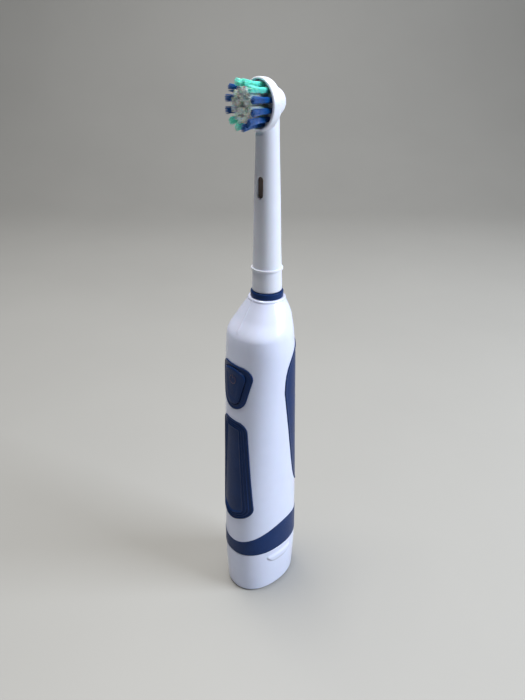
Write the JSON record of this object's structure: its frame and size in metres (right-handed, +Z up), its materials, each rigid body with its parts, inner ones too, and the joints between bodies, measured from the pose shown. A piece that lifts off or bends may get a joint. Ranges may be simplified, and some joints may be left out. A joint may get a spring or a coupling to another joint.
{
  "type": "battery toothbrush with an oscillating round head",
  "caption": "Battery toothbrush: oval white handle with navy soft grips and button, pull-off battery cap, and push-on brush head with a round oscillating disc.",
  "frame": {"origin": "centre of the flat base, where the toothbrush stands", "axes": "+Z up along the handle, -Y to the front with the button and the bristles, +X to the right seen from the front"},
  "size_m": [0.0284, 0.0362, 0.225],
  "materials": {
    "white_shell": "glossy, cool white",
    "white_neck": "satin white",
    "navy_soft": "satin soft-touch",
    "grey_plastic": "moulded, matte",
    "cream_plastic": "moulded acetal, satin",
    "black_plastic": "moulded, matte",
    "black_rubber": "matte",
    "steel": "turned, satin",
    "bronze": "sintered, satin",
    "contact_metal": "stamped strip",
    "magnet": "ferrite, matte",
    "winding": "enamelled wire on steel",
    "green_board": "solder mask",
    "cell_jacket": "printed metal jacket, plain",
    "clear_plastic": "translucent white",
    "blue_bristle": "nylon filament",
    "green_bristle": "nylon filament",
    "clear_bristle": "nylon filament, translucent"
  },
  "bodies": {
    "handle": {"housing": "white_shell", "collar_ring": "navy_soft", "neck_spigot": "white_shell", "button_surround": "navy_soft", "front_grip": "navy_soft", "rear_grip": "navy_soft", "lower_band": "navy_soft", "chassis": "grey_plastic", "gearbox_plate": "grey_plastic", "gearbox_screws": "steel", "motor_can": "steel", "motor_magnets": "magnet", "motor_end_cap": "cream_plastic", "gear_axle": "steel", "lower_bush": "bronze", "upper_bush": "bronze", "shaft_seal": "black_rubber", "circuit_board": "green_board", "switch_body": "black_plastic", "battery_front": "cell_jacket", "battery_rear": "cell_jacket", "contact_front": "contact_metal", "contact_rear": "contact_metal", "switch_lead": "contact_metal", "motor_lead_front": "contact_metal", "motor_lead_rear": "contact_metal"},
    "button": {"power_button": "navy_soft", "switch_plunger": "cream_plastic"},
    "rotor": {"motor_shaft": "steel", "armature": "winding", "commutator": "contact_metal", "motor_pinion": "bronze"},
    "crank": {"crank_gear": "cream_plastic", "crank_pin": "steel"},
    "shaft": {"drive_shaft": "steel", "shaft_fork": "cream_plastic"},
    "brush_head": {"neck_shell": "white_neck", "id_ring": "white_neck", "disc_axle": "steel"},
    "link": {"drive_link": "cream_plastic"},
    "head_disc": {"brush_disc": "clear_plastic", "blue_tufts": "blue_bristle", "green_tufts": "green_bristle", "inner_tufts": "clear_bristle"},
    "battery_cap": {"base_cap": "white_shell", "cap_seal": "black_rubber", "base_contact": "contact_metal", "battery_spring": "steel"}
  },
  "joints": [
    {"name": "button_press", "type": "slide", "parent": "handle", "child": "button", "axis": [0, 1, 0], "range_m": [0, 0.0008], "stiffness_N_per_m": 800, "springref_m": -0.001},
    {"name": "rotor_spin", "type": "hinge", "parent": "handle", "child": "rotor", "pos_m": [0, 0.0034, 0.083], "axis": [0, 0, 1], "continuous": true},
    {"name": "crank_spin", "type": "hinge", "parent": "handle", "child": "crank", "pos_m": [0, -0.003, 0.0987], "axis": [0, 0, 1], "continuous": true},
    {"name": "shaft_swing", "type": "hinge", "parent": "handle", "child": "shaft", "pos_m": [0, 0.0034, 0.14], "axis": [0, 0, 1], "range_deg": [-24, 24]},
    {"name": "head_pull", "type": "slide", "parent": "handle", "child": "brush_head", "axis": [0, 0, 1], "range_m": [0, 0.04]},
    {"name": "link_swing", "type": "hinge", "parent": "brush_head", "child": "link", "pos_m": [0, 0.0034, 0.19], "axis": [0, 0, 1], "range_deg": [-24, 24]},
    {"name": "disc_swing", "type": "hinge", "parent": "brush_head", "child": "head_disc", "pos_m": [0, 0.0034, 0.2168], "axis": [0, 1, 0], "range_deg": [-20, 20]},
    {"name": "cap_pull", "type": "slide", "parent": "handle", "child": "battery_cap", "axis": [0, 0, -1], "range_m": [0, 0.03]}
  ],
  "couplings": [
    {"joint": "crank_spin", "follows": "rotor_spin", "ratio": -0.6},
    {"joint": "link_swing", "follows": "shaft_swing", "ratio": 1},
    {"joint": "disc_swing", "follows": "shaft_swing", "ratio": -0.8077}
  ]
}
